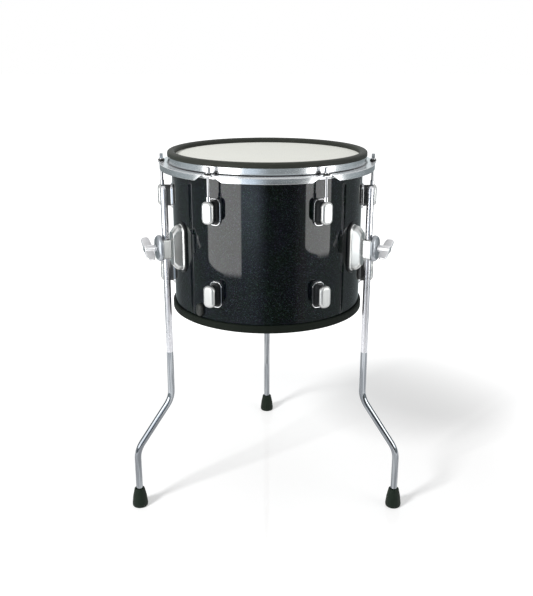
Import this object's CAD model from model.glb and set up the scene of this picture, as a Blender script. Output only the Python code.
# The looks of a floor tom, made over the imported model. Metres, +Z up, the front towards -Y.
# An azimuth turns from the front to +X. A piece is modelled at the front and turned to its place.
import math

import bmesh
import bpy
from mathutils import Matrix, Vector


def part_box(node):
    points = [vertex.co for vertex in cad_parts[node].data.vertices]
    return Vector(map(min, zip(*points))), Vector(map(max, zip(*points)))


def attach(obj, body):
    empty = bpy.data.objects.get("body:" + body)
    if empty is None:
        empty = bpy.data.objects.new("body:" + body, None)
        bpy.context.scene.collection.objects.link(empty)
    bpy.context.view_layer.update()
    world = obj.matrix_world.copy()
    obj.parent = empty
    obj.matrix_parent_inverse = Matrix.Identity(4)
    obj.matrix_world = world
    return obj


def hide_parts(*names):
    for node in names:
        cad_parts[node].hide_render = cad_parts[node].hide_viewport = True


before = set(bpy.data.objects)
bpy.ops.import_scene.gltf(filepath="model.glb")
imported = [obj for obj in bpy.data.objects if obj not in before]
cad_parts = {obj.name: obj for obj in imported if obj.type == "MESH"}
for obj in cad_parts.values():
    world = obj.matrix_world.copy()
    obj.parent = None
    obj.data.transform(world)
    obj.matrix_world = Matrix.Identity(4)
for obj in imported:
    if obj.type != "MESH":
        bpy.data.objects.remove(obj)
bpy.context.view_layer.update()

MM = 0.001


def mm(*lengths):
    return [length * MM for length in lengths]


# The camera that the photograph was taken with, measured from the drum's axis and the floor
PHOTO_WIDTH, PHOTO_HEIGHT = 533, 596
FOCAL_PIXELS = 798.0
OPTICAL_CENTRE = (267.0, 298.4)
CAMERA_DISTANCE = 1.4948
CAMERA_HEIGHT = 0.8583
CAMERA_PITCH = 17.89
CAMERA_ROLL = 0.1

# Where the pieces stand round the drum
ROD_AZIMUTHS = {1: 30, 2: 90, 3: 150, 4: 210, 5: 270, 6: 330}
LEG_AZIMUTHS = {"right": 60, "left": -60, "back": 180}
WING_TILTS = {"right": 56, "left": -44, "back": 42}
JACK_AZIMUTH = -42

# Fineness of the round shapes
ROUND_STEPS = 240
SMALL_STEPS = 40
SIDE_STEPS = 8
CORNER_STEPS = 8
FILLET_STEPS = 5
SHARP_ANGLE = 32.0
TINY = 1e-6


def middle(node, axis):
    low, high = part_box(node)
    return (low[axis] + high[axis]) / 2


def span(node, axis):
    low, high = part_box(node)
    return high[axis] - low[axis]


AXIS = Vector((middle("shell", 0), middle("shell", 1), 0))


def ends(node, axis=2):
    """Where a node starts and ends along an axis, from the drum's own axis and the floor."""
    low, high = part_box(node)
    return low[axis] - AXIS[axis], high[axis] - AXIS[axis]


SHELL_RADIUS, SHELL_WALL = span("shell", 0) / 2, 6.8 * MM
SHELL_BOTTOM, SHELL_TOP = ends("shell")
SEAT = SHELL_RADIUS + 0.3 * MM
HEAD_BOTTOM, HEAD_TOP = ends("mesh_head")
ROD_CIRCLE = middle("tension_rod_2", 0) - AXIS[0]
LEG_BOTTOM, LEG_TOP = ends("leg_back")
LEG_RADIUS = span("leg_back", 0) / 2
LEG_CIRCLE = ends("leg_back", 1)[0] + LEG_RADIUS
FOOT_CIRCLE = middle("rubber_foot_back", 1) - AXIS[1]
CLAMP_HEIGHT = middle("pressure_pad_back", 2)


# Mesh building

# The share of a side that a round corner may take, and of its radius that an inset one keeps
LONGEST_CUT, LEAST_CORNER = 0.49, 0.15


def rounded(outline, radius, closed=True, steps=FILLET_STEPS):
    """An outline of 2-D points with round corners. radius is one size, or one for each point."""
    points = [Vector(point) for point in outline]
    radii = radius if isinstance(radius, (list, tuple)) else [radius] * len(points)
    result = []
    for index, corner in enumerate(points):
        at_end = not closed and index in (0, len(points) - 1)
        if at_end or radii[index] <= 0:
            result.append(corner)
            continue
        back = points[index - 1] - corner
        ahead = points[(index + 1) % len(points)] - corner
        half = back.angle(ahead) / 2
        cut = min(radii[index] / math.tan(half), back.length * LONGEST_CUT, ahead.length * LONGEST_CUT)
        back.normalize()
        ahead.normalize()
        centre = corner + (back + ahead).normalized() * cut / math.cos(half)
        start, end = corner + back * cut - centre, corner + ahead * cut - centre
        sweep = start.angle(end)
        for step in range(steps + 1):
            share = step / steps
            arc = start * math.sin((1 - share) * sweep) + end * math.sin(share * sweep)
            result.append(centre + arc / math.sin(sweep))
    return result


def skin(rings, closed_rows=False):
    """A mesh over rings of points, with flat ends. A ring of one point closes to a tip."""
    mesh = bmesh.new()
    rows = [[mesh.verts.new(point) for point in ring] for ring in rings]
    pairs = list(zip(rows, rows[1:]))
    if closed_rows:
        pairs.append((rows[-1], rows[0]))
    for low, high in pairs:
        count = max(len(low), len(high))
        for index in range(count if count > 1 else 0):
            following = (index + 1) % count
            corners = [
                low[index % len(low)], low[following % len(low)],
                high[following % len(high)], high[index % len(high)],
            ]
            mesh.faces.new(list(dict.fromkeys(corners)))
    if not closed_rows:
        for row in (rows[0], rows[-1]):
            if len(row) > 2:
                mesh.faces.new(row)
    bmesh.ops.recalc_face_normals(mesh, faces=mesh.faces[:])
    return mesh


def around(radius, angle, height):
    """The place at a distance from the Z axis and an azimuth in radians."""
    return Vector((radius * math.sin(angle), -radius * math.cos(angle), height))


def turned(profile, closed=True, steps=ROUND_STEPS):
    """A mesh of a profile of (radius, height) points turned about the Z axis."""
    angles = [2 * math.pi * step / steps for step in range(steps)]
    rings = []
    for radius, height in profile:
        if radius < TINY:
            rings.append([Vector((0, 0, height))])
        else:
            rings.append([around(radius, angle, height) for angle in angles])
    return skin(rings, closed)


def lathe(outline, radius, closed=True, steps=ROUND_STEPS, fillet=FILLET_STEPS):
    """A turned mesh of an outline with round corners."""
    return turned(rounded(outline, radius, closed, fillet), closed, steps)


def outline_at(size, centre, reach, inset=0.0):
    """A rounded rectangle that faces the front. Its size is a width, a height and a corner."""
    width, height, corner = size
    radius = max(corner - inset, corner * LEAST_CORNER)
    across, up = width / 2 - inset - radius, height / 2 - inset - radius
    corners = []
    for quarter, (side, rise) in enumerate([(1, 1), (-1, 1), (-1, -1), (1, -1)]):
        for step in range(CORNER_STEPS + 1):
            angle = (quarter + step / CORNER_STEPS) * math.pi / 2
            x = side * across + radius * math.cos(angle)
            z = rise * up + radius * math.sin(angle)
            corners.append(Vector((x, -reach, centre + z)))
    points = []
    for place, point in enumerate(corners):
        points.append(point)
        if place % (CORNER_STEPS + 1) == CORNER_STEPS:
            following = corners[(place + 1) % len(corners)]
            points += [point.lerp(following, step / SIDE_STEPS) for step in range(1, SIDE_STEPS)]
    return points


def slab(size, centre, face, profile):
    """A block of one size. Its profile gives how far each outline is ahead of the face and inset."""
    return skin([outline_at(size, centre, face + ahead, inset) for ahead, inset in profile])


def round_edge(edge, steps, first=0):
    """How far ahead and how far inset a round edge goes, from a block's side to its front."""
    angles = [step / steps * math.pi / 2 for step in range(first, steps + 1)]
    return [(edge * math.sin(angle), edge * (1 - math.cos(angle))) for angle in angles]


def cushion(size, centre, start, end, edge, crown=0.0, steps=8):
    """Outlines of a block that grows outwards, with a round front edge and a crowned front."""
    rings = [outline_at(size, centre, start)]
    for ahead, inset in round_edge(edge, steps):
        rings.append(outline_at(size, centre, end - crown - edge + ahead, inset))
    if crown > 0:
        rim = rings.pop()
        half_width, half_height = size[0] / 2 - edge, size[1] / 2 - edge
        for step in range(steps):
            share = 1 - step / steps
            ring = []
            for point in rim:
                x, z = point.x * share, (point.z - centre) * share
                dome = (1 - (x / half_width) ** 2) * (1 - (z / half_height) ** 2)
                ring.append(Vector((x, crown - end - crown * dome, centre + z)))
            rings.append(ring)
        rings.append([Vector((0, -end, centre))])
    return rings


def moved(mesh, matrix):
    bmesh.ops.transform(mesh, matrix=matrix, verts=mesh.verts[:])
    return mesh


def turn(degrees, axis="Z"):
    return Matrix.Rotation(math.radians(degrees), 4, axis)


def shift(forward=0.0, up=0.0):
    """A move towards the front and up."""
    return Matrix.Translation((0, -forward, up))


def bar(radius, low, high, bore=0):
    """The outline of a round bar or, with a bore, of a tube."""
    return [(bore, low), (radius, low), (radius, high), (bore, high)]


def upright(radius, distance, low, high):
    """An upright round bar in front of the drum's axis, for cutting holes."""
    return moved(turned(bar(radius, low, high), False, SMALL_STEPS), shift(distance))


def outward(profile):
    """A turned mesh that points straight out of the drum. Its profile is (radius, distance)."""
    return moved(turned(profile, False, SMALL_STEPS), turn(90, "X"))


def new_object(name, mesh, materials=()):
    """Makes a mesh an object of the scene, and frees the mesh."""
    data = bpy.data.meshes.new(name)
    mesh.to_mesh(data)
    mesh.free()
    for material in materials:
        data.materials.append(material)
    made = bpy.data.objects.new(name, data)
    bpy.context.scene.collection.objects.link(made)
    return made


def combined(first, *others, operation="UNION"):
    """Joins meshes into one skin, or cuts the others out of the first."""
    base = new_object("loose", first)
    tools = [new_object("loose", other) for other in others]
    for tool in tools:
        change = base.modifiers.new("change", "BOOLEAN")
        change.operation = operation
        change.solver = "EXACT"
        change.object = tool
    bpy.context.view_layer.update()
    evaluated = base.evaluated_get(bpy.context.evaluated_depsgraph_get())
    result = bmesh.new()
    result.from_mesh(evaluated.to_mesh())
    evaluated.to_mesh_clear()
    for made in [base, *tools]:
        bpy.data.meshes.remove(made.data)
    return result


def cut(first, *tools):
    return combined(first, *tools, operation="DIFFERENCE")


def gathered(*meshes):
    """Several closed meshes as one, each keeping its own skin."""
    result = bmesh.new()
    for mesh in meshes:
        data = bpy.data.meshes.new("loose")
        mesh.to_mesh(data)
        mesh.free()
        result.from_mesh(data)
        bpy.data.meshes.remove(data)
    return result


def paint(mesh, index):
    """Gives every face of a mesh one material index."""
    for face in mesh.faces:
        face.material_index = index
    return mesh


def piece(name, mesh, node, materials, body="drum", azimuth=0.0, sharp=SHARP_ANGLE):
    """Makes a mesh the piece that replaces a node, turned to its azimuth round the drum."""
    moved(mesh, Matrix.Translation(AXIS) @ turn(azimuth))
    made = new_object(name, mesh, materials)
    made.data.shade_smooth()
    made.data.set_sharp_from_angle(angle=math.radians(sharp))
    made.modifiers.new("weighted_normals", "WEIGHTED_NORMAL").keep_sharp = True
    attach(made, body)
    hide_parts(node)
    return made


def pieces(azimuths, name, mesh, node, materials, body="drum"):
    """Makes copies of a mesh pieces. A name's braces stand for the key of each azimuth."""
    for key, azimuth in azimuths.items():
        piece(name.format(key), mesh.copy(), node.format(key), materials, body.format(key), azimuth)
    mesh.free()


# Materials

NOISE_ROUGHNESS = 0.55


class Nodes:
    """A short way to build the nodes of a new material, given by its name, or of a world."""

    def __init__(self, owner):
        self.owner = bpy.data.materials.new(owner) if isinstance(owner, str) else owner
        self.owner.use_nodes = True
        self.tree = self.owner.node_tree

    def put(self, socket, value):
        if isinstance(value, bpy.types.NodeSocket):
            self.tree.links.new(value, socket)
        else:
            socket.default_value = value

    def add(self, kind, inputs=None, **settings):
        node = self.tree.nodes.new(kind)
        for key, value in settings.items():
            setattr(node, key, value)
        for key, value in (inputs or {}).items():
            self.put(node.inputs[key], value)
        return node

    def finish(self, **values):
        """Sets the inputs of the material's own shader, and returns the material."""
        for key, value in values.items():
            self.put(self.tree.nodes["Principled BSDF"].inputs[key.replace("_", " ")], value)
        return self.owner

    def show(self, shader):
        """Puts another shader in place of the material's own, and returns the material."""
        self.tree.nodes.remove(self.tree.nodes["Principled BSDF"])
        self.put(self.tree.nodes["Material Output"].inputs["Surface"], shader.outputs[0])
        return self.owner

    def place(self):
        return self.add("ShaderNodeTexCoord").outputs["Object"]

    def parts(self):
        return self.add("ShaderNodeSeparateXYZ", {"Vector": self.place()}).outputs

    def noise(self, scale, detail, vector=None):
        inputs = {"Vector": vector or self.place(), "Scale": scale, "Detail": detail}
        inputs["Roughness"] = NOISE_ROUGHNESS
        return self.add("ShaderNodeTexNoise", inputs).outputs["Fac"]

    def cells(self, size):
        return self.add("ShaderNodeTexVoronoi", {"Vector": self.place(), "Scale": 1 / size}).outputs

    def stretched(self, scale):
        return self.add("ShaderNodeMapping", {"Vector": self.place(), "Scale": scale}).outputs["Vector"]

    def ramp(self, value, low, high, to_low, to_high, **settings):
        inputs = {"Value": value, "From Min": low, "From Max": high, "To Min": to_low, "To Max": to_high}
        return self.add("ShaderNodeMapRange", inputs, **settings).outputs["Result"]

    def blend(self, factor, first, second):
        mix = self.add("ShaderNodeMix", {0: factor}, data_type="RGBA")
        for place, colour in ((6, first), (7, second)):
            self.put(mix.inputs[place], (*colour, 1) if isinstance(colour, tuple) else colour)
        return mix.outputs[2]

    def math(self, operation, first, second):
        return self.add("ShaderNodeMath", {0: first, 1: second}, operation=operation).outputs[0]

    def length(self, vector):
        return self.add("ShaderNodeVectorMath", {0: vector}, operation="LENGTH").outputs["Value"]

    def bump(self, height, strength, depth):
        inputs = {"Height": height, "Strength": strength, "Distance": depth}
        return self.add("ShaderNodeBump", inputs).outputs["Normal"]

    def seen_directly(self):
        """One for camera, glossy and transmission rays, so that metal shows the same background."""
        path = self.add("ShaderNodeLightPath")
        total = path.outputs["Is Camera Ray"]
        for name in ("Is Glossy Ray", "Is Transmission Ray"):
            total = self.math("MAXIMUM", total, path.outputs[name])
        return total


# A cloud is a soft change of tone, and a grain is the fine relief: scales of noise in a metre
METAL_CLOUD, RUBBER_CLOUD, PLASTIC_CLOUD, FABRIC_CLOUD, LACQUER_CLOUD = 45.0, 60.0, 80.0, 7.0, 26.0
RUBBER_GRAIN, PLASTIC_GRAIN, BRUSHED_GRAIN = 2200.0, 3000.0, 300.0
VENEER_STREAK, VENEER_PORE = 24.0, 160.0
METAL_RANGE, GRAIN_RANGE = (0.35, 0.7), (0.3, 0.7)
SCRATCH_DEPTH, SCRATCH_STRENGTH = 0.02 * MM, 0.15
PLASTIC_SHADE, PLASTIC_SPREAD, BRUSHED_SPREAD = 0.8, 0.06, 0.08


def metal(name, light, dark, rough, spread, grain, scratch=SCRATCH_STRENGTH, shade=None):
    """A plated metal: smudged gloss, a trace of tone, and hair-fine scratches."""
    nodes = Nodes(name)
    smudge = nodes.noise(METAL_CLOUD, 4.0)
    tone = nodes.blend(smudge, light, dark)
    return nodes.finish(
        Base_Color=shade(nodes, tone) if shade else tone,
        Metallic=1.0,
        Roughness=nodes.ramp(smudge, *METAL_RANGE, rough - spread, rough + spread),
        Normal=nodes.bump(nodes.noise(grain, 2.0), scratch, SCRATCH_DEPTH),
    )


# The hoop, with the corner between its wall and its flange
HOOP_SKIRT_LOW, HOOP_TOP = ends("hoop")
HOOP_INNER, HOOP_WALL = SHELL_RADIUS + 3.7 * MM, 2.4 * MM
HOOP_FOOT = HOOP_TOP - 19.6 * MM
CORNER_START, CORNER_END = HOOP_INNER + HOOP_WALL + 2.0 * MM, HOOP_INNER + HOOP_WALL + 3.2 * MM
CORNER_TOP, CORNER_FADE = HOOP_FOOT + HOOP_WALL + 1.2 * MM, 0.6 * MM
CORNER_TONE = (0.035, 0.037, 0.04)


def dulled_corner(nodes, tone):
    """A metal's tone, darker in the corner between the hoop's wall and its flange."""
    parts = nodes.parts()
    forward = nodes.math("SUBTRACT", parts["Y"], AXIS[1])
    radius = nodes.length(nodes.add("ShaderNodeCombineXYZ", {"X": parts["X"], "Y": forward}).outputs[0])
    near_wall = nodes.ramp(radius, CORNER_START, CORNER_END, 1.0, 0.0)
    low = nodes.ramp(parts["Z"], CORNER_TOP, CORNER_TOP + CORNER_FADE, 1.0, 0.0)
    return nodes.blend(nodes.math("MULTIPLY", near_wall, low), tone, CORNER_TONE)


LEG_STREAK, LEG_STREAK_RISE = 2.6, 5.0


def leg_material():
    """Grey chrome with streaks that run along the leg, drawn round it by the mesh's own layer."""
    nodes = Nodes("leg_chrome")
    side = nodes.add("ShaderNodeAttribute", attribute_name="around").outputs["Vector"]
    rise = nodes.math("MULTIPLY", nodes.parts()["Z"], LEG_STREAK_RISE)
    up = nodes.add("ShaderNodeCombineXYZ", {"Z": rise}).outputs[0]
    along = nodes.add("ShaderNodeVectorMath", {0: side, 1: up}, operation="ADD").outputs["Vector"]
    streak = nodes.add("ShaderNodeTexNoise", {"Vector": along, "Scale": LEG_STREAK, "Detail": 1.0})
    share = nodes.ramp(streak.outputs["Fac"], 0.42, 0.58, 0.0, 1.0)
    fine = nodes.noise(500.0, 2.0)
    return nodes.finish(
        Base_Color=nodes.blend(share, (0.2, 0.213, 0.232), (0.38, 0.402, 0.425)),
        Metallic=1.0,
        Roughness=nodes.ramp(fine, *METAL_RANGE, 0.11, 0.16),
        Normal=nodes.bump(fine, SCRATCH_STRENGTH, SCRATCH_DEPTH),
    )


# The size of a flake's cell, and how rare its flakes are
LARGE_FLAKE, LARGE_RARITY = 0.9 * MM, 0.9
SMALL_FLAKE, SMALL_RARITY, SMALL_GLOSS = 0.5 * MM, 0.7, 0.6


def sparkle_material():
    """Black lacquer over coloured flakes, under a clear coat."""
    nodes = Nodes("black_sparkle_wrap")
    shares = []
    for size, least in ((LARGE_FLAKE, LARGE_RARITY), (SMALL_FLAKE, SMALL_RARITY)):
        cells = nodes.cells(size)
        colour = nodes.add("ShaderNodeSeparateColor", {"Color": cells["Color"]}).outputs
        near = nodes.ramp(cells["Distance"], 0.32, 0.42, 1.0, 0.0)
        chosen = nodes.ramp(colour["Red"], least, least + 0.04, 0.0, 1.0)
        shares.append((nodes.math("MULTIPLY", near, chosen), colour["Green"]))
    (large, green), (small, _) = shares
    flakes = nodes.math("MAXIMUM", large, nodes.math("MULTIPLY", small, SMALL_GLOSS))
    hue = nodes.ramp(green, 0.0, 1.0, 0.3, 0.82)
    glint = nodes.add("ShaderNodeCombineColor", {"Red": hue, "Green": 0.5, "Blue": 0.14}, mode="HSV")
    cloud = nodes.ramp(nodes.noise(LACQUER_CLOUD, 2.0), 0.38, 0.62, 0.0, 1.0)
    ground = nodes.blend(cloud, (0.0005, 0.0028, 0.0012), (0.0012, 0.0016, 0.0036))
    return nodes.finish(
        Base_Color=nodes.blend(flakes, ground, glint.outputs["Color"]),
        Metallic=nodes.math("MULTIPLY", flakes, 0.85),
        Roughness=nodes.ramp(flakes, 0.0, 1.0, 0.45, 0.3),
        Specular_IOR_Level=0.0,
        Coat_Weight=1.0,
        Coat_Roughness=0.025,
        Coat_IOR=1.45,
    )


def rubber_material(name, light, dark, gloss):
    nodes = Nodes(name)
    grain = nodes.noise(RUBBER_GRAIN, 2.0)
    return nodes.finish(
        Base_Color=nodes.blend(nodes.noise(RUBBER_CLOUD, 4.0), dark, light),
        Roughness=nodes.ramp(grain, *GRAIN_RANGE, 0.5, 0.66),
        Normal=nodes.bump(grain, 0.35, 0.05 * MM),
        Specular_IOR_Level=gloss,
    )


# The scale at which the wave texture repeats once in a metre
WAVE_SCALE = math.pi / 10
THREAD_PITCH = 0.9 * MM


def mesh_material():
    """Two plies of fine white mesh, taut over the shell."""
    nodes = Nodes("mesh_fabric")
    inputs = {"Vector": nodes.place(), "Scale": WAVE_SCALE / THREAD_PITCH, "Distortion": 0.0, "Detail": 0.0}
    threads = []
    for direction in ("X", "Y"):
        threads.append(nodes.add("ShaderNodeTexWave", inputs, bands_direction=direction).outputs["Fac"])
    weave = nodes.math("MAXIMUM", *threads)
    tone = nodes.blend(nodes.noise(FABRIC_CLOUD, 3.0), (0.735, 0.74, 0.68), (0.79, 0.795, 0.745))
    return nodes.finish(
        Base_Color=nodes.blend(nodes.ramp(weave, 0.2, 0.8, 0.0, 1.0), (0.605, 0.615, 0.565), tone),
        Roughness=0.75,
        Normal=nodes.bump(weave, 0.4, 0.1 * MM),
        Specular_IOR_Level=0.25,
        Sheen_Weight=0.15,
    )


def plastic_material(name, colour, rough):
    nodes = Nodes(name)
    grain = nodes.noise(PLASTIC_GRAIN, 2.0)
    shaded = tuple(part * PLASTIC_SHADE for part in colour)
    return nodes.finish(
        Base_Color=nodes.blend(nodes.noise(PLASTIC_CLOUD, 3.0), shaded, colour),
        Roughness=nodes.ramp(grain, *GRAIN_RANGE, rough - PLASTIC_SPREAD, rough + PLASTIC_SPREAD),
        Normal=nodes.bump(grain, 0.2, 0.03 * MM),
    )


def wood_material():
    """The lacquered veneer inside the shell, its grain running round."""
    nodes = Nodes("shell_veneer")
    streak = nodes.noise(VENEER_STREAK, 6.0, nodes.stretched((1, 1, 14)))
    pore = nodes.noise(VENEER_PORE, 3.0, nodes.stretched((1, 1, 10)))
    tone = nodes.blend(streak, (0.42, 0.26, 0.13), (0.6, 0.42, 0.24))
    return nodes.finish(
        Base_Color=nodes.blend(nodes.ramp(pore, 0.55, 0.7, 0.0, 0.5), tone, (0.3, 0.17, 0.08)),
        Roughness=nodes.ramp(streak, *GRAIN_RANGE, 0.35, 0.5),
        Normal=nodes.bump(pore, 0.2, 0.1 * MM),
        Coat_Weight=0.3,
        Coat_Roughness=0.2,
    )


def brushed_material(name, light, dark, direction, rough):
    nodes = Nodes(name)
    lines = nodes.noise(BRUSHED_GRAIN, 4.0, nodes.stretched(direction))
    return nodes.finish(
        Base_Color=nodes.blend(lines, dark, light),
        Metallic=1.0,
        Roughness=nodes.ramp(lines, *GRAIN_RANGE, rough - BRUSHED_SPREAD, rough + BRUSHED_SPREAD),
        Normal=nodes.bump(lines, 0.2, 0.03 * MM),
    )


FOAM_CELL = 0.9 * MM


def foam_material():
    nodes = Nodes("open_foam")
    distance = nodes.cells(FOAM_CELL)["Distance"]
    depth = nodes.ramp(distance, 0.1, 0.6, 0.0, 1.0)
    return nodes.finish(
        Base_Color=nodes.blend(depth, (0.012, 0.012, 0.013), (0.05, 0.05, 0.055)),
        Roughness=0.95,
        Normal=nodes.bump(distance, 0.8, 0.4 * MM),
        Sheen_Weight=0.2,
    )


CHROME = metal("chrome", (0.64, 0.645, 0.66), (0.58, 0.585, 0.6), 0.07, 0.03, 900.0)
HOOP_CHROME = metal("hoop_chrome", (0.68, 0.69, 0.7), (0.62, 0.63, 0.65), 0.215, 0.035, 700.0,
                    shade=dulled_corner)
WING_CHROME = metal("wing_chrome", (0.91, 0.91, 0.92), (0.84, 0.84, 0.855), 0.34, 0.03, 260.0, 0.03)
ROD_CHROME = metal("rod_chrome", (0.42, 0.42, 0.43), (0.36, 0.36, 0.37), 0.12, 0.03, 500.0)
BRACKET_SATIN = metal("bracket_satin", (0.68, 0.69, 0.68), (0.6, 0.61, 0.6), 0.34, 0.05, 1400.0, 0.3)
SATIN = metal("satin_chrome", (0.54, 0.545, 0.54), (0.48, 0.485, 0.48), 0.4, 0.05, 1500.0, 0.2)
DISC_SATIN = metal("disc_satin_chrome", (0.39, 0.41, 0.435), (0.34, 0.36, 0.385), 0.38, 0.05, 1500.0, 0.3)
LEG_CHROME = leg_material()
LEG_UPPER = metal("leg_upper_chrome", (0.72, 0.72, 0.75), (0.66, 0.66, 0.69), 0.3, 0.05, 1800.0, 0.5)
SPARKLE = sparkle_material()
RIM_RUBBER = rubber_material("rim_rubber", (0.022, 0.024, 0.019), (0.015, 0.017, 0.013), 0.27)
RING_RUBBER = rubber_material("ring_rubber", (0.008, 0.011, 0.008), (0.005, 0.007, 0.005), 0.1)
FOOT_RUBBER = rubber_material("foot_rubber", (0.009, 0.016, 0.01), (0.004, 0.009, 0.005), 0.22)
FABRIC = mesh_material()
PLASTIC = plastic_material("black_plastic", (0.011, 0.013, 0.011), 0.5)
INLAY = plastic_material("lug_inlay", (0.012, 0.013, 0.014), 0.3)
WOOD = wood_material()
ALUMINIUM = brushed_material("brushed_aluminium", (0.68, 0.69, 0.7), (0.52, 0.53, 0.54), (1, 12, 12), 0.35)
BRASS = brushed_material("turned_brass", (0.72, 0.58, 0.3), (0.6, 0.47, 0.22), (1, 1, 8), 0.3)
FOAM = foam_material()


# The drum

OUTER_BEVEL, BEARING_FLAT, SHELL_EDGE, WRAP = mm(2.6, 1.4, 0.4, 0.3)


def make_shell():
    inner = SHELL_RADIUS - SHELL_WALL
    bevel = SHELL_WALL - OUTER_BEVEL - BEARING_FLAT
    outline = [
        (inner, SHELL_BOTTOM), (SHELL_RADIUS, SHELL_BOTTOM), (SHELL_RADIUS, SHELL_TOP - OUTER_BEVEL),
        (SHELL_RADIUS - OUTER_BEVEL, SHELL_TOP), (inner + bevel, SHELL_TOP), (inner, SHELL_TOP - bevel),
    ]
    mesh = lathe(outline, SHELL_EDGE, fillet=3)
    for face in mesh.faces:
        wrapped = face.calc_center_median().xy.length > SHELL_RADIUS - WRAP
        face.material_index = 0 if wrapped else 1
    piece("shell_body", mesh, "shell", [SPARKLE, WOOD])


RING_WALL, RING_GAP, RING_LIP, RING_LIP_HEIGHT = mm(4.3, 0.3, 2.4, 9.0)
RING_ROUNDING = mm(0.8, 2.2, 1.6, 0.5, 0.1, 0.1, 0.6, 0.6)


def make_bottom_ring():
    outer = span("bottom_ring", 0) / 2
    low, high = ends("bottom_ring")
    seat, lip_top = SHELL_BOTTOM - RING_GAP, low + RING_LIP_HEIGHT
    lip = SHELL_RADIUS - SHELL_WALL - RING_GAP
    outline = [
        (lip - RING_LIP, low), (outer, low), (outer, high), (outer - RING_WALL, high),
        (outer - RING_WALL, seat), (lip, seat), (lip, lip_top), (lip - RING_LIP, lip_top),
    ]
    piece("bottom_trim_ring", lathe(outline, RING_ROUNDING), "bottom_ring", [RING_RUBBER])


HEAD_PLY, HEAD_BEND = mm(0.6, 3.0)
HEAD_RINGS, HEAD_BEND_STEPS = 24, 8


def make_head():
    radius = span("mesh_head", 0) / 2
    faces = []
    for depth in (0, HEAD_PLY):
        side, top = radius - depth, HEAD_TOP - depth
        outline = [(0, top), (side, top), (side, HEAD_BOTTOM)]
        bend = rounded(outline, HEAD_BEND - depth, False, HEAD_BEND_STEPS)[1:]
        faces.append([Vector((bend[0].x * step / HEAD_RINGS, top)) for step in range(HEAD_RINGS)] + bend)
    mesh = turned(faces[0] + faces[1][::-1], closed=False)
    head = piece("mesh_head_film", mesh, "mesh_head", [FABRIC])


COVER_WIDTH, COVER_CROWN, COVER_SKIRT, COVER_GAP, COVER_EDGE = mm(14.0, 4.6, 1.2, 0.3, 0.4)
COVER_STEPS = 20


def make_rim_cover():
    outer = span("rim_cover", 0) / 2
    low, high = ends("rim_cover")
    inner, slot = outer - COVER_WIDTH, outer - COVER_SKIRT
    floor, wall, roof = HEAD_TOP + COVER_GAP, HOOP_INNER - COVER_GAP, HOOP_TOP + COVER_GAP
    under = [(inner, floor), (wall, floor), (wall, roof), (slot, roof), (slot, low), (outer, low)]
    outline = rounded(under, COVER_EDGE, closed=False, steps=3)
    for step in range(COVER_STEPS + 1):
        angle = math.pi * step / COVER_STEPS
        out = (outer + inner) / 2 + COVER_WIDTH / 2 * math.cos(angle)
        outline.append(Vector((out, high - COVER_CROWN + COVER_CROWN * math.sin(angle))))
    piece("rim_cover_rubber", turned(outline), "rim_cover", [RIM_RUBBER])


# The hoop: a wall, a flange with a rolled edge, and a skirt that is open at each rod

FLANGE_RADIUS = span("hoop", 1) / 2
HOOP_ROUNDING = mm(1.6, 1.15, 1.15, 1.4, 0.8, 0.8)
HOOP_HOLE, HOLE_MARGIN = mm(2.9, 2.0)
EAR_WIDTH, EAR_REACH, EAR_CORNER, EAR_EDGE = mm(24.0, 202.9, 6.0, 0.7)
SKIRT_RADIUS, SKIRT_WALL, SKIRT_EDGE = mm(199.6, 1.6, 0.7)
GAP_TOP, GAP_BOTTOM, GAP_FLARE = mm(25.0, 52.0, 3.0)
FLARE_START = 0.75
SKIRT_ANGLE, SKIRT_STEPS = 60, 48


def hoop_ear():
    width, start = EAR_WIDTH / 2, HOOP_INNER + HOOP_WALL / 2
    outline = [(-width, start), (width, start), (width, EAR_REACH), (-width, EAR_REACH)]
    flat = rounded(outline, [0, 0, EAR_CORNER, EAR_CORNER], steps=6)
    centre = Vector((0, (start + EAR_REACH) / 2))
    rows = []
    for height, inset in ((0, EAR_EDGE), (EAR_EDGE, 0), (HOOP_WALL - EAR_EDGE, 0), (HOOP_WALL, EAR_EDGE)):
        row = [point + (centre - point).normalized() * inset for point in flat]
        rows.append([Vector((point.x, -point.y, HOOP_FOOT + height)) for point in row])
    return skin(rows)


def skirt_segment(azimuth):
    """The skirt from the gap at one rod to the gap at the next, its ends cut on a slant."""
    top, low = HOOP_FOOT + HOOP_WALL / 2, HOOP_SKIRT_LOW
    halfway, inner = (top + low) / 2, SKIRT_RADIUS - SKIRT_WALL
    outline = [
        (inner, low), (SKIRT_RADIUS, low), (SKIRT_RADIUS, halfway), (SKIRT_RADIUS, top),
        (inner, top), (inner, halfway),
    ]
    section = rounded(outline, [SKIRT_EDGE, SKIRT_EDGE, 0, 0, 0, 0], steps=4)
    rows = []
    for step in range(SKIRT_STEPS + 1):
        row = []
        for radius, height in section:
            drop = (top - height) / (top - low)
            flare = GAP_FLARE * max(0, (drop - FLARE_START) / (1 - FLARE_START)) ** 2
            half_gap = GAP_TOP / 2 + (GAP_BOTTOM - GAP_TOP) / 2 * drop + flare
            first = math.radians(azimuth) + half_gap / SKIRT_RADIUS
            last = math.radians(azimuth + SKIRT_ANGLE) - half_gap / SKIRT_RADIUS
            angle = first + (last - first) * step / SKIRT_STEPS
            row.append(around(radius, angle, height))
        rows.append(row)
    return skin(rows)


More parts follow.
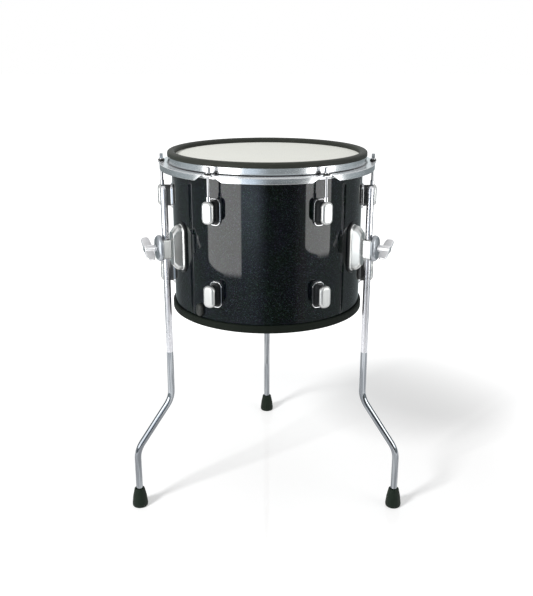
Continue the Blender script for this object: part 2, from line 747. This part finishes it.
def make_hoop():
    flange_top, wall = HOOP_FOOT + HOOP_WALL, HOOP_INNER + HOOP_WALL
    outline = [
        (HOOP_INNER, HOOP_FOOT), (FLANGE_RADIUS, HOOP_FOOT), (FLANGE_RADIUS, flange_top),
        (wall, flange_top), (wall, HOOP_TOP), (HOOP_INNER, HOOP_TOP),
    ]
    azimuths = ROD_AZIMUTHS.values()
    ears = [moved(hoop_ear(), turn(azimuth)) for azimuth in azimuths]
    hoop = combined(lathe(outline, HOOP_ROUNDING, fillet=6), *ears)
    low, high = HOOP_FOOT - HOLE_MARGIN, flange_top + HOLE_MARGIN
    holes = [moved(upright(HOOP_HOLE, ROD_CIRCLE, low, high), turn(azimuth)) for azimuth in azimuths]
    skirts = [skirt_segment(azimuth) for azimuth in azimuths]
    piece("flanged_hoop", gathered(cut(hoop, *holes), *skirts), "hoop", [HOOP_CHROME])


# Tension rods, washers and swivel nuts

ROD_RADIUS, ROD_TIP = mm(2.5, 0.8)
KEY_WIDTH, KEY_HEIGHT, KEY_CORNER, KEY_EDGE = mm(6.2, 8.4, 0.7, 1.0)
KEY_PROFILE = [(1, 0), (0.3, 0.35), (0, 1)]
COLLAR_HEIGHT, COLLAR_EDGE = mm(2.2, 0.7)
SHANK_OVERLAP, KEY_START = 0.3, 0.6
ROD_BORE, WASHER_EDGE = mm(2.85, 0.5)
NUT_ROUNDING = mm(0.3, 0.5, 1.0, 0.4)


def on_rod(outline, radius, closed=False, fillet=FILLET_STEPS):
    """A turned mesh on the axis of a tension rod."""
    return moved(lathe(outline, radius, closed, SMALL_STEPS, fillet), shift(ROD_CIRCLE))


def key_mesh(low, high):
    """The square top of a tension rod, with its upper edge broken."""
    levels = [(low, 0)] + [(high - down * KEY_EDGE, inset * KEY_EDGE) for down, inset in KEY_PROFILE]
    rows = []
    for height, inset in levels:
        half = KEY_WIDTH / 2 - inset
        outline = rounded([(-half, -half), (half, -half), (half, half), (-half, half)], KEY_CORNER, steps=3)
        rows.append([Vector((point.x, point.y - ROD_CIRCLE, height)) for point in outline])
    return skin(rows)


def rod_mesh():
    """A tension rod: a shank, a collar and a square key, which run into each other."""
    (low, top), radius = ends("tension_rod_2"), span("tension_rod_2", 0) / 2
    collar = top - KEY_HEIGHT - COLLAR_HEIGHT
    return gathered(
        on_rod(bar(ROD_RADIUS, low, collar + SHANK_OVERLAP * COLLAR_HEIGHT), [0, ROD_TIP, 0, 0]),
        on_rod(bar(radius, collar, collar + COLLAR_HEIGHT), COLLAR_EDGE),
        key_mesh(collar + KEY_START * COLLAR_HEIGHT, top),
    )


def bored_mesh(node, rounding):
    """A washer or a nut, with a bore for its rod."""
    return on_rod(bar(span(node, 0) / 2, *ends(node), ROD_BORE), rounding, closed=True, fillet=3)


def make_tuning():
    washer, nut = bored_mesh("rod_washer_2", WASHER_EDGE), bored_mesh("swivel_nut_2", NUT_ROUNDING)
    pieces(ROD_AZIMUTHS, "rod_{}", rod_mesh(), "tension_rod_{}", [ROD_CHROME], "tension_rod_{}")
    pieces(ROD_AZIMUTHS, "washer_{}", washer, "rod_washer_{}", [PLASTIC], "washer_{}")
    pieces(ROD_AZIMUTHS, "nut_{}", nut, "swivel_nut_{}", [CHROME])


# Lugs. A profile gives how far each outline is ahead of the base's front, and how far inset.

LUG_BASE, LUG_SINK, LUG_CORNER = mm(2.8, 1.2, 9.6)
LUG_RIM_PROFILE = [mm(-0.8, 0), mm(-0.2, 0.25), mm(0, 0.7), mm(-0.2, 1.3)]
LUG_INLAY_PROFILE = [mm(-1.4, 1.3), mm(-0.15, 1.4), mm(0.5, 2.7)]
LUG_WAIST_FOOT, LUG_WAIST, LUG_WAIST_END = mm(18.0, 42.5, 7.4), mm(16.0, 40.5, 7.4), mm(16.0, 37.8, 7.4)
LUG_WAIST_SINK, LUG_WAIST_START, LUG_WAIST_REACH = mm(1, 2, 4)
LUG_CAP, LUG_CAP_BACK = mm(22.6, 39.8, 9.4), mm(0.1, 0.8)
LUG_CAP_START, LUG_CAP_RISE, LUG_CAP_EDGE, LUG_ARCH = mm(20.4, 1.6, 5.2, 1.9)
NUT_GAP, NUT_OPENING = mm(0.3, 2.0)


def lug_cap(start, end, centre):
    """The domed cap, whose back arches away from the waist."""
    rings = cushion(LUG_CAP, centre, start, end, LUG_CAP_EDGE)
    sunk, inset = LUG_CAP_BACK
    rings.insert(0, outline_at(LUG_CAP, centre, start - sunk, inset))
    for ring in rings[:2]:
        for point in ring:
            share = (point.z - centre) / (LUG_CAP[1] / 2)
            point.y -= LUG_ARCH * (1 - share ** 2)
    return skin(rings)


def lug_meshes(node):
    """A lug at the front: a rimmed base on the shell, a dark inlay, a dark waist and a domed cap."""
    centre, start = middle(node, 2), SHELL_RADIUS + LUG_CAP_START
    size = (span("upper_lug_2", 1), span(node, 2), LUG_CORNER)
    front, cap_centre = SEAT + LUG_BASE, centre + LUG_CAP_RISE
    sunk = (SHELL_RADIUS - LUG_SINK - front, 0)
    waist = [
        outline_at(LUG_WAIST_FOOT, centre, front - LUG_WAIST_SINK),
        outline_at(LUG_WAIST, centre, front + LUG_WAIST_START),
        outline_at(LUG_WAIST_END, cap_centre, start + LUG_WAIST_REACH),
    ]
    base = slab(size, centre, front, [sunk, *LUG_RIM_PROFILE])
    inlay = slab(size, centre, front, LUG_INLAY_PROFILE)
    return base, inlay, skin(waist), lug_cap(start, ends("upper_lug_2", 0)[1], cap_centre)


def make_lugs():
    low, high = ends("swivel_nut_2")
    opening = (span("swivel_nut_2", 0) / 2 + NUT_GAP, ROD_CIRCLE, low - NUT_GAP, high + NUT_OPENING)
    for row in ("upper", "lower"):
        base, inlay, waist, cap = lug_meshes(row + "_lug_2")
        if row == "upper":
            waist, cap = [cut(mesh, upright(*opening)) for mesh in (waist, cap)]
        lug = gathered(paint(base, 1), paint(inlay, 2), paint(waist, 2), paint(cap, 0))
        finishes = [SATIN, CHROME, INLAY]
        pieces(ROD_AZIMUTHS, row + "_lug_cast_{}", lug, row + "_lug_{}", finishes)


# Leg brackets and their wing bolts

PLATE_CORNER, PLATE_THICKNESS, PLATE_EDGE, PLATE_SLOPE, PLATE_BULGE = mm(15.0, 4.2, 3.0, 3.4, 0.35)
PLATE_SHARES = (0.0, 0.06, 0.2, 0.5, 0.8, 0.94, 1.0)
BRACKET_SINK = 1.6 * MM
GASKET_RIM, GASKET_THICKNESS, GASKET_EDGE = mm(3.0, 2.4, 0.4)
BODY_BACK, BODY_FRONT = mm(23.4, 83.0, 11.0), mm(20.0, 63.0, 8.8)
BODY_DEPTH, BODY_EDGE = mm(20.7, 1.6)
BODY_STEPS, EDGE_STEPS = 18, 4
NECK, NECK_LENGTH = mm(11.0, 31.0, 2.8), 1.0 * MM
BLOCK = mm(19.4, 36.0, 2.8)
BLOCK_RISE, BLOCK_EDGE, BLOCK_INSET = mm(1.3, 1.0, 0.6)
BLOCK_BACK = mm(0.4, 0.5)
LEG_GAP, STUD_RADIUS, STUD_GAP, STUD_MARGIN = mm(0.35, 3.8, 0.3, 2.0)


def stud_hole(start, end):
    """A bar along the wing bolt's stud, for cutting its hole."""
    return moved(outward(bar(STUD_RADIUS + STUD_GAP, start, end)), shift(up=CLAMP_HEIGHT))


def bracket_plate(size, sink, centre):
    front = SEAT + PLATE_THICKNESS
    rows = [outline_at(size, centre, sink)]
    for share in PLATE_SHARES:
        bulge = PLATE_BULGE * math.sin(math.pi * share)
        rows.append(outline_at(size, centre, front - PLATE_EDGE * (1 - share) + bulge, PLATE_SLOPE * share))
    return skin(rows)


def bracket_body(centre):
    """The part between plate and block, narrower towards the front, with a round front edge."""
    start, end = SHELL_RADIUS + PLATE_THICKNESS / 2, SHELL_RADIUS + BODY_DEPTH - BODY_EDGE
    rows = []
    for step in range(BODY_STEPS + 1):
        share = math.sin(step / BODY_STEPS * math.pi / 2)
        shares = (share, share ** 3, share)
        size = [back + (front - back) * part for back, front, part in zip(BODY_BACK, BODY_FRONT, shares)]
        rows.append(outline_at(size, centre, start + (end - start) * share))
    for ahead, inset in round_edge(BODY_EDGE, EDGE_STEPS, first=1):
        rows.append(outline_at(BODY_FRONT, centre, end + ahead, inset))
    return skin(rows)


def bracket_block(face, centre):
    """The block that holds the leg, on a neck that grows out of the body."""
    body_front = SHELL_RADIUS + BODY_DEPTH
    back = LEG_CIRCLE - LEG_RADIUS + BLOCK_INSET
    sunk, inset = BLOCK_BACK
    rows = [
        outline_at(NECK, centre, body_front - BODY_EDGE),
        outline_at(NECK, centre, body_front + NECK_LENGTH),
        outline_at(BLOCK, centre, back - sunk, inset),
        outline_at(BLOCK, centre, back),
    ]
    for ahead, inset in round_edge(BLOCK_EDGE, EDGE_STEPS):
        rows.append(outline_at(BLOCK, centre, face - BLOCK_EDGE + ahead, inset))
    return skin(rows)


def bracket_mesh():
    centre, face = middle("leg_bracket_back", 2), ends("leg_bracket_back", 1)[1]
    width, height = span("leg_bracket_back", 0), span("leg_bracket_back", 2)
    sink = SHELL_RADIUS - BRACKET_SINK
    plate = bracket_plate((width, height, PLATE_CORNER), sink, centre)
    casting = combined(plate, bracket_body(centre), bracket_block(face, centre + BLOCK_RISE))
    bore = upright(LEG_RADIUS + LEG_GAP, LEG_CIRCLE, centre - height / 2, centre + height / 2)
    casting = cut(casting, bore, stud_hole(LEG_CIRCLE, face + STUD_MARGIN))
    size = (width + 2 * GASKET_RIM, height + 2 * GASKET_RIM, PLATE_CORNER + GASKET_RIM)
    front = SEAT + GASKET_THICKNESS
    gasket = slab(size, centre, front, [(sink - front, 0), (-GASKET_EDGE, 0), (0, GASKET_EDGE)])
    return gathered(paint(casting, 0), paint(gasket, 1))


DISC_CORNER, DISC_EDGE, DISC_CROWN, DISC_SIDE = mm(14.8, 6.0, 1.6, 1.2)
DISC_BACK, DISC_STEPS = [mm(0, 1.2), mm(0.35, 0.4)], 10


def disc_mesh():
    centre, (start, end) = middle("clamp_disc_back", 2), ends("clamp_disc_back", 1)
    size = (span("clamp_disc_back", 0), span("clamp_disc_back", 2), DISC_CORNER)
    back = [outline_at(size, centre, start + ahead, inset) for ahead, inset in DISC_BACK]
    front = cushion(size, centre, start + DISC_SIDE, end, DISC_EDGE, DISC_CROWN, DISC_STEPS)
    return cut(skin(back + front), stud_hole(start - STUD_MARGIN, end + STUD_MARGIN))


HUB_RADIUS, HUB_LENGTH, HUB_NECK, HUB_NECK_END, HUB_FLARE_END, HUB_TAPER = mm(6.6, 22.0, 0.6, 2.0, 4.0, 0.4)
HUB_ROUNDING = mm(0, 0.6, 0.4, 1.0, 1.6, 0)
BOLT_GAP, STUD_TIP = mm(0.3, 0.7)
WING_THICKNESS, WING_EDGE, WING_SPAN = mm(4.4, 1.5, 48.0)
WING_ROOT, WING_TIP, WING_TIP_LENGTH, WING_CORNER = mm(5.0, 7.4, 15.0, 5.5)
WING_MIDDLE, WING_MIDDLE_SHARE, WING_BLUNTNESS = 5.0 * MM, 0.45, 2.4
WING_SHARES = (-1, -0.94, -0.75, -0.4, 0.4, 0.75, 0.94, 1)


def wing_mesh(face):
    """One wing: a plate with a round tip, thinner at its edges than along its middle."""
    tip, tip_start = WING_SPAN / 2, face + WING_TIP
    tip_end = tip_start + WING_TIP_LENGTH
    outline = [(face + WING_ROOT, 0), (tip_start, tip), (tip_end, tip), (face + HUB_LENGTH, 0)]
    flat = rounded(outline, [0, WING_CORNER, WING_CORNER, 0], steps=7)
    centre = Vector((tip_start + WING_MIDDLE, tip * WING_MIDDLE_SHARE))
    rows = []
    for share in WING_SHARES:
        inset = WING_EDGE * (1 - math.sqrt(max(0.0, 1 - abs(share) ** WING_BLUNTNESS)))
        row = []
        for point in flat:
            place = point + (centre - point).normalized() * inset if point.y > TINY else point
            row.append(Vector((share * WING_THICKNESS / 2, -place.x, place.y)))
        rows.append(row)
    return skin(rows)


def wing_bolt_mesh(tilt):
    face = ends("clamp_disc_back", 1)[1] + BOLT_GAP
    tip = ends("pressure_pad_back", 1)[1] + BOLT_GAP
    hub_end, neck = face + HUB_LENGTH, HUB_RADIUS - HUB_NECK
    hub_outline = [
        (0, face), (neck, face), (neck, face + HUB_NECK_END), (HUB_RADIUS, face + HUB_FLARE_END),
        (HUB_RADIUS - HUB_TAPER, hub_end), (0, hub_end),
    ]
    hub = outward(rounded(hub_outline, HUB_ROUNDING, closed=False))
    stud = outward(rounded(bar(STUD_RADIUS, tip, face + HUB_RADIUS), [0, STUD_TIP, 0, 0], closed=False))
    bolt = combined(hub, stud, wing_mesh(face), moved(wing_mesh(face), turn(180, "Y")))
    return moved(moved(bolt, turn(tilt, "Y")), shift(up=CLAMP_HEIGHT))


# Legs and feet

UPPER_BEND, LOWER_BEND, BEND_RADIUS = mm(211.0, 118.0, 48.0)
LEG_TONE_HEIGHT, TONE_GROOVE, TONE_GROOVE_DEPTH, LEG_DOME = mm(305.0, 0.5, 0.1, 4.0)
LEG_DOME_SHARES = (0.12, 0.35, 0.6, 0.8, 0.93, 1.0)
LEG_SIDES, BEND_STEPS = 40, 20


def leg_path():
    """The leg from its domed top to its foot: distance, height, lean and radius at each ring."""
    lean = math.atan2(FOOT_CIRCLE - LEG_CIRCLE, UPPER_BEND - LOWER_BEND)
    tangent = BEND_RADIUS * math.tan(lean / 2)
    path = []
    for share in LEG_DOME_SHARES:
        rise = LEG_DOME * math.sqrt(1 - share ** 2)
        path.append((LEG_CIRCLE, LEG_TOP - LEG_DOME + rise, 0, LEG_RADIUS * share))
    for rise, depth in ((TONE_GROOVE, 0), (0, TONE_GROOVE_DEPTH), (-TONE_GROOVE, 0)):
        path.append((LEG_CIRCLE, LEG_TONE_HEIGHT + rise, 0, LEG_RADIUS - depth))
    lower = [(FOOT_CIRCLE, LEG_BOTTOM, 0, LEG_RADIUS)]
    for step in range(BEND_STEPS + 1):
        angle = lean * step / BEND_STEPS
        out, drop = BEND_RADIUS * (1 - math.cos(angle)), BEND_RADIUS * math.sin(angle)
        path.append((LEG_CIRCLE + out, UPPER_BEND + tangent - drop, angle, LEG_RADIUS))
        lower.append((FOOT_CIRCLE - out, LOWER_BEND - tangent + drop, angle, LEG_RADIUS))
    return path + lower[::-1]


def leg_mesh():
    sides = [2 * math.pi * side / LEG_SIDES for side in range(LEG_SIDES)]
    rings = []
    for distance, height, lean, radius in leg_path():
        ring = []
        for side in sides:
            along = radius * math.cos(side)
            out, up = distance + along * math.cos(lean), height + along * math.sin(lean)
            ring.append(Vector((radius * math.sin(side), -out, up)))
        rings.append(ring)
    mesh = skin(rings)
    layer = mesh.verts.layers.float_vector.new("around")
    for place, vertex in enumerate(mesh.verts):
        side = sides[place % LEG_SIDES]
        vertex[layer] = (math.sin(side), math.cos(side), 0)
    for face in mesh.faces:
        face.material_index = 1 if face.calc_center_median().z > LEG_TONE_HEIGHT else 0
    return mesh


FOOT_TOP_RADIUS, FOOT_INSET, FOOT_BAND, FOOT_SWELL, FOOT_FLOOR, SOCKET_GAP = mm(9.6, 0.6, 5.6, 0.9, 6.0, 0.3)
FOOT_SWELL_SHARE = 0.55
FOOT_ROUNDING = mm(0, 2.4, 4, 18, 2.6, 0.8, 0, 0)
FOOT_STEPS = 64


def foot_mesh():
    radius, height = span("rubber_foot_back", 0) / 2, ends("rubber_foot_back")[1]
    socket, swell = LEG_RADIUS + SOCKET_GAP, (radius + FOOT_TOP_RADIUS) / 2 + FOOT_SWELL
    outline = [
        (0, 0), (radius - FOOT_INSET, 0), (radius, FOOT_BAND), (swell, height * FOOT_SWELL_SHARE),
        (FOOT_TOP_RADIUS, height), (socket, height), (socket, FOOT_FLOOR), (0, FOOT_FLOOR),
    ]
    return moved(lathe(outline, FOOT_ROUNDING, False, FOOT_STEPS, fillet=6), shift(FOOT_CIRCLE))


WING_SHARP_ANGLE = 50.0


def make_legs():
    casting, chrome = [BRACKET_SATIN, INLAY], [LEG_CHROME, LEG_UPPER]
    pieces(LEG_AZIMUTHS, "bracket_cast_{}", bracket_mesh(), "leg_bracket_{}", casting)
    pieces(LEG_AZIMUTHS, "disc_cast_{}", disc_mesh(), "clamp_disc_{}", [DISC_SATIN])
    pieces(LEG_AZIMUTHS, "leg_rod_{}", leg_mesh(), "leg_{}", chrome, "leg_{}")
    pieces(LEG_AZIMUTHS, "foot_boot_{}", foot_mesh(), "rubber_foot_{}", [FOOT_RUBBER], "leg_{}")
    for side, azimuth in LEG_AZIMUTHS.items():
        bolt, body = wing_bolt_mesh(WING_TILTS[side]), "wing_bolt_" + side
        piece("wing_screw_" + side, bolt, body, [WING_CHROME], body, azimuth, WING_SHARP_ANGLE)


# Jack housing and trigger

JACK_WIDTH, JACK_CORNER, JACK_SINK, JACK_REACH, JACK_EDGE, JACK_CROWN = mm(16.0, 7.9, 1.0, 8.5, 5.0, 1.2)
CONE_BASE, CONE_TIP = mm(25.0, 9.0)
CONE_BAND_SHARE, CONE_MIDDLE_SHARE = 0.22, 0.45
CONE_ROUNDING = mm(0, 2, 10, 20, 3, 0)
CONE_STEPS = 96


def make_jack():
    size = (JACK_WIDTH, span("jack_housing", 2), JACK_CORNER)
    start, end = SHELL_RADIUS - JACK_SINK, SHELL_RADIUS + JACK_REACH
    mesh = skin(cushion(size, middle("jack_housing", 2), start, end, JACK_EDGE, JACK_CROWN))
    piece("jack_cover", mesh, "jack_housing", [PLASTIC], azimuth=JACK_AZIMUTH)


def make_cone():
    (low, high), height = ends("sensor_cone"), span("sensor_cone", 2)
    waist = CONE_TIP + (CONE_BASE - CONE_TIP) / 2
    outline = [
        (0, low), (CONE_BASE, low), (CONE_BASE, low + height * CONE_BAND_SHARE),
        (waist, low + height * CONE_MIDDLE_SHARE), (CONE_TIP, high), (0, high),
    ]
    mesh = lathe(outline, CONE_ROUNDING, False, CONE_STEPS, fillet=8)
    piece("trigger_foam_cone", mesh, "sensor_cone", [FOAM])


def finish_cad_nodes():
    """Gives the nodes that stay as they are their materials."""
    finishes = {f"pressure_pad_{side}": BRASS for side in LEG_AZIMUTHS}
    finishes.update({name: ALUMINIUM for name in ("flesh_ring", "crossbar", "sensor_plate")})
    finishes["jack_socket"] = PLASTIC
    for name, material in finishes.items():
        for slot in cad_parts[name].material_slots:
            slot.material = material


# The studio round the drum, which shows only in glossy surfaces: cool grey walls, a dark gap in
# front, two soft windows and a white wall behind. A window is its first and last azimuth, its lower
# edge, how far its left and its right lower corner reach across and up, and its glow.
SURROUND_RADIUS, SURROUND_TOP, SURROUND_COLUMNS = 1.05, 0.85, 540
WINDOW_SOFTNESS, WINDOW_MARGIN = 0.012, 2.0
WINDOWS = [
    (-68.4, -27.9, 0.2145, (0.5, 0.042), (0.02, 0.02), 4.2),
    (41.9, 73.9, 0.2655, (0.6, 0.036), (0.04, 0.02), 4.0),
]
WALL_GLOW, UPPER_GLOW, BACK_GLOW, GAP_GLOW = 0.4, 0.7, 1.0, 0.09
UPPER_START, UPPER_FULL = 0.44, 0.6
BACK_START, BACK_FULL = 146.0, 172.0
SIDE_SHADE, SIDE_START, SIDE_FULL = 0.32, 96.0, 118.0
SHOULDER_GLOW, SHOULDER_LOW_GLOW = 1.3, 0.33
SHOULDER_LOW, SHOULDER_HIGH = 0.14, 0.5
SHOULDER_START, SHOULDER_END = -16.0, 3.0
RIGHT_SHOULDER_GLOW, RIGHT_SHOULDER_WIDTH = 0.25, 17.0
WALL_TINT = (0.86, 0.97, 1.0)
SHOULDER_TINT = (0.8, 0.95, 1.12)
WINDOW_TINT = (1.0, 1.0, 0.99)

# The rows of the studio's wall, finer where the windows end: a first height, a step and a count
WALL_ROWS = [(0.0, 0.018, 10), (0.18, 0.0025, 64), (0.34, (SURROUND_TOP - 0.34) / 20, 21)]


def smooth(value, low, high):
    share = min(max((value - low) / (high - low), 0.0), 1.0)
    return share * share * (3 - 2 * share)


def mixed(first, second, share):
    return tuple(a + (b - a) * share for a, b in zip(first, second))


def window_share(azimuth, height, window):
    """How much of a window shows at a place on the wall: 1 inside, 0 outside, soft at its edge."""
    first, last, low, left_corner, right_corner, _ = window
    across = math.radians(azimuth - (first + last) / 2) * SURROUND_RADIUS
    half = math.radians(last - first) / 2 * SURROUND_RADIUS
    reach, rise = left_corner if across < 0 else right_corner
    side = max(abs(across) - (half - reach), 0.0) / reach
    down = max(low + rise - height, 0.0) / rise
    if side > 0 and down > 0:
        length = math.hypot(side, down)
        outside = (length - 1) * math.hypot(side * reach, down * rise) / length
    else:
        outside = max(abs(across) - half, low - height)
    return smooth(-outside, -WINDOW_SOFTNESS, WINDOW_SOFTNESS)


def surround_glow(azimuth, height):
    """The colour and strength of the studio's light from one place on its wall."""
    left_edge, right_edge = WINDOWS[0][1], WINDOWS[1][0]
    upper = smooth(height, UPPER_START, UPPER_FULL)
    wall = WALL_GLOW + (UPPER_GLOW - WALL_GLOW) * upper
    wall *= 1 - SIDE_SHADE * smooth(abs(azimuth), SIDE_START, SIDE_FULL)
    wall += (BACK_GLOW - wall) * smooth(abs(azimuth), BACK_START, BACK_FULL)
    glow = tuple(wall * tint for tint in WALL_TINT)
    if left_edge - WINDOW_MARGIN < azimuth < right_edge + WINDOW_MARGIN:
        rise = smooth(height, SHOULDER_LOW, SHOULDER_HIGH)
        shoulder = SHOULDER_LOW_GLOW + (SHOULDER_GLOW - SHOULDER_LOW_GLOW) * rise
        left = shoulder * (1 - smooth(azimuth, SHOULDER_START, SHOULDER_END))
        right = RIGHT_SHOULDER_GLOW * smooth(azimuth, right_edge - RIGHT_SHOULDER_WIDTH, right_edge)
        gap = tuple(GAP_GLOW + left * tint + right for tint in SHOULDER_TINT)
        glow = mixed(gap, glow, upper)
    for window in WINDOWS:
        bright = tuple(window[-1] * tint for tint in WINDOW_TINT)
        glow = mixed(glow, bright, window_share(azimuth, height, window))
    return glow


def surround_mesh():
    mesh = bmesh.new()
    layer = mesh.verts.layers.float_color.new("glow")
    heights = [start + size * step for start, size, count in WALL_ROWS for step in range(count)]
    columns = []
    for column in range(SURROUND_COLUMNS):
        azimuth = 360 * column / SURROUND_COLUMNS - 180
        columns.append([])
        for height in heights:
            vertex = mesh.verts.new(AXIS + around(SURROUND_RADIUS, math.radians(azimuth), height))
            vertex[layer] = (*surround_glow(azimuth, height), 1)
            columns[-1].append(vertex)
    for here, ahead in zip(columns, columns[1:] + columns[:1]):
        for row in range(len(heights) - 1):
            mesh.faces.new((here[row], ahead[row], ahead[row + 1], here[row + 1]))
    return mesh


def make_surround():
    nodes = Nodes("studio_surround")
    glow = nodes.add("ShaderNodeAttribute", attribute_name="glow")
    material = nodes.show(nodes.add("ShaderNodeEmission", {"Color": glow.outputs["Color"]}))
    material.cycles.emission_sampling = "NONE"
    made = new_object("studio_surround", surround_mesh(), [material])
    for kind in ("camera", "diffuse", "transmission", "volume_scatter", "shadow"):
        setattr(made, "visible_" + kind, False)


# Floor, world, lamps and camera

FLOOR_SIZE, FLOOR_COLOUR = 40.0, (0.7, 0.7, 0.7, 1)
FLOOR_MIRROR, FLOOR_ROUGHNESS = 0.06, 0.04
FLOOR_GLOW, FLOOR_FAR_GLOW = 0.42, 1.0
FLOOR_NEAR, FLOOR_FAR = 0.42, 1.0


def make_floor():
    """A pale polished floor, whose glow grows with the distance from the origin."""
    nodes = Nodes("pale_floor")
    fade = (FLOOR_NEAR, FLOOR_FAR, FLOOR_GLOW, FLOOR_FAR_GLOW)
    brightness = nodes.ramp(nodes.length(nodes.place()), *fade, interpolation_type="SMOOTHSTEP")
    strength = nodes.math("MULTIPLY", nodes.seen_directly(), brightness)
    glow = nodes.add("ShaderNodeEmission", {"Strength": strength}).outputs[0]
    diffuse = nodes.add("ShaderNodeBsdfDiffuse", {"Color": FLOOR_COLOUR}).outputs[0]
    both = nodes.add("ShaderNodeAddShader", {0: diffuse, 1: glow}).outputs[0]
    mirror = nodes.add("ShaderNodeBsdfGlossy", {"Roughness": FLOOR_ROUGHNESS}).outputs[0]
    polished = nodes.add("ShaderNodeMixShader", {"Fac": FLOOR_MIRROR, 1: both, 2: mirror})
    mesh = bmesh.new()
    bmesh.ops.create_grid(mesh, x_segments=1, y_segments=1, size=FLOOR_SIZE / 2)
    new_object("studio_floor", mesh, [nodes.show(polished)])


WORLD_FILL, WORLD_SEEN = 0.3, 1.0


def make_world():
    """A white world, dimmer for the light that it gives than where it is seen."""
    nodes = Nodes(bpy.data.worlds.new("studio"))
    background = nodes.tree.nodes["Background"]
    background.inputs["Color"].default_value = (1, 1, 1, 1)
    nodes.put(background.inputs["Strength"], nodes.ramp(nodes.seen_directly(), 0, 1, WORLD_FILL, WORLD_SEEN))
    bpy.context.scene.world = nodes.owner


# The place, the size and the power of each lamp
LAMPS = {
    "key_light": ((-2.0, -2.0, 2.3), 0.65, 104),
    "fill_light": ((2.2, -1.2, 1.5), 1.4, 9),
    "top_light": ((0.2, 0.5, 2.9), 1.6, 11),
}
LAMP_TARGET = Vector((0, AXIS[1], 0.5))


def make_lamps():
    for name, (place, size, power) in LAMPS.items():
        data = bpy.data.lights.new(name, "AREA")
        data.shape = "SQUARE"
        data.size = size
        data.energy = power
        made = bpy.data.objects.new(name, data)
        made.location = place
        made.rotation_euler = (LAMP_TARGET - Vector(place)).to_track_quat("-Z", "Y").to_euler()
        made.visible_camera = False
        made.visible_glossy = False
        bpy.context.scene.collection.objects.link(made)


def make_camera():
    data = bpy.data.cameras.new("photo_camera")
    data.lens = FOCAL_PIXELS / PHOTO_HEIGHT * data.sensor_width
    data.shift_x = (PHOTO_WIDTH / 2 - OPTICAL_CENTRE[0]) / PHOTO_HEIGHT
    data.shift_y = (OPTICAL_CENTRE[1] - PHOTO_HEIGHT / 2) / PHOTO_HEIGHT
    data.clip_start, data.clip_end = 0.05, 60
    camera = bpy.data.objects.new("photo_camera", data)
    place = Matrix.Translation((AXIS[0], AXIS[1] - CAMERA_DISTANCE, CAMERA_HEIGHT))
    camera.matrix_world = place @ turn(90 - CAMERA_PITCH, "X") @ turn(CAMERA_ROLL)
    bpy.context.scene.collection.objects.link(camera)
    bpy.context.scene.camera = camera


make_camera()
make_shell()
make_bottom_ring()
make_head()
make_rim_cover()
make_hoop()
make_tuning()
make_lugs()
make_legs()
make_jack()
make_cone()
finish_cad_nodes()
make_floor()
make_world()
make_lamps()
make_surround()
bpy.context.scene.view_settings.view_transform = "Standard"
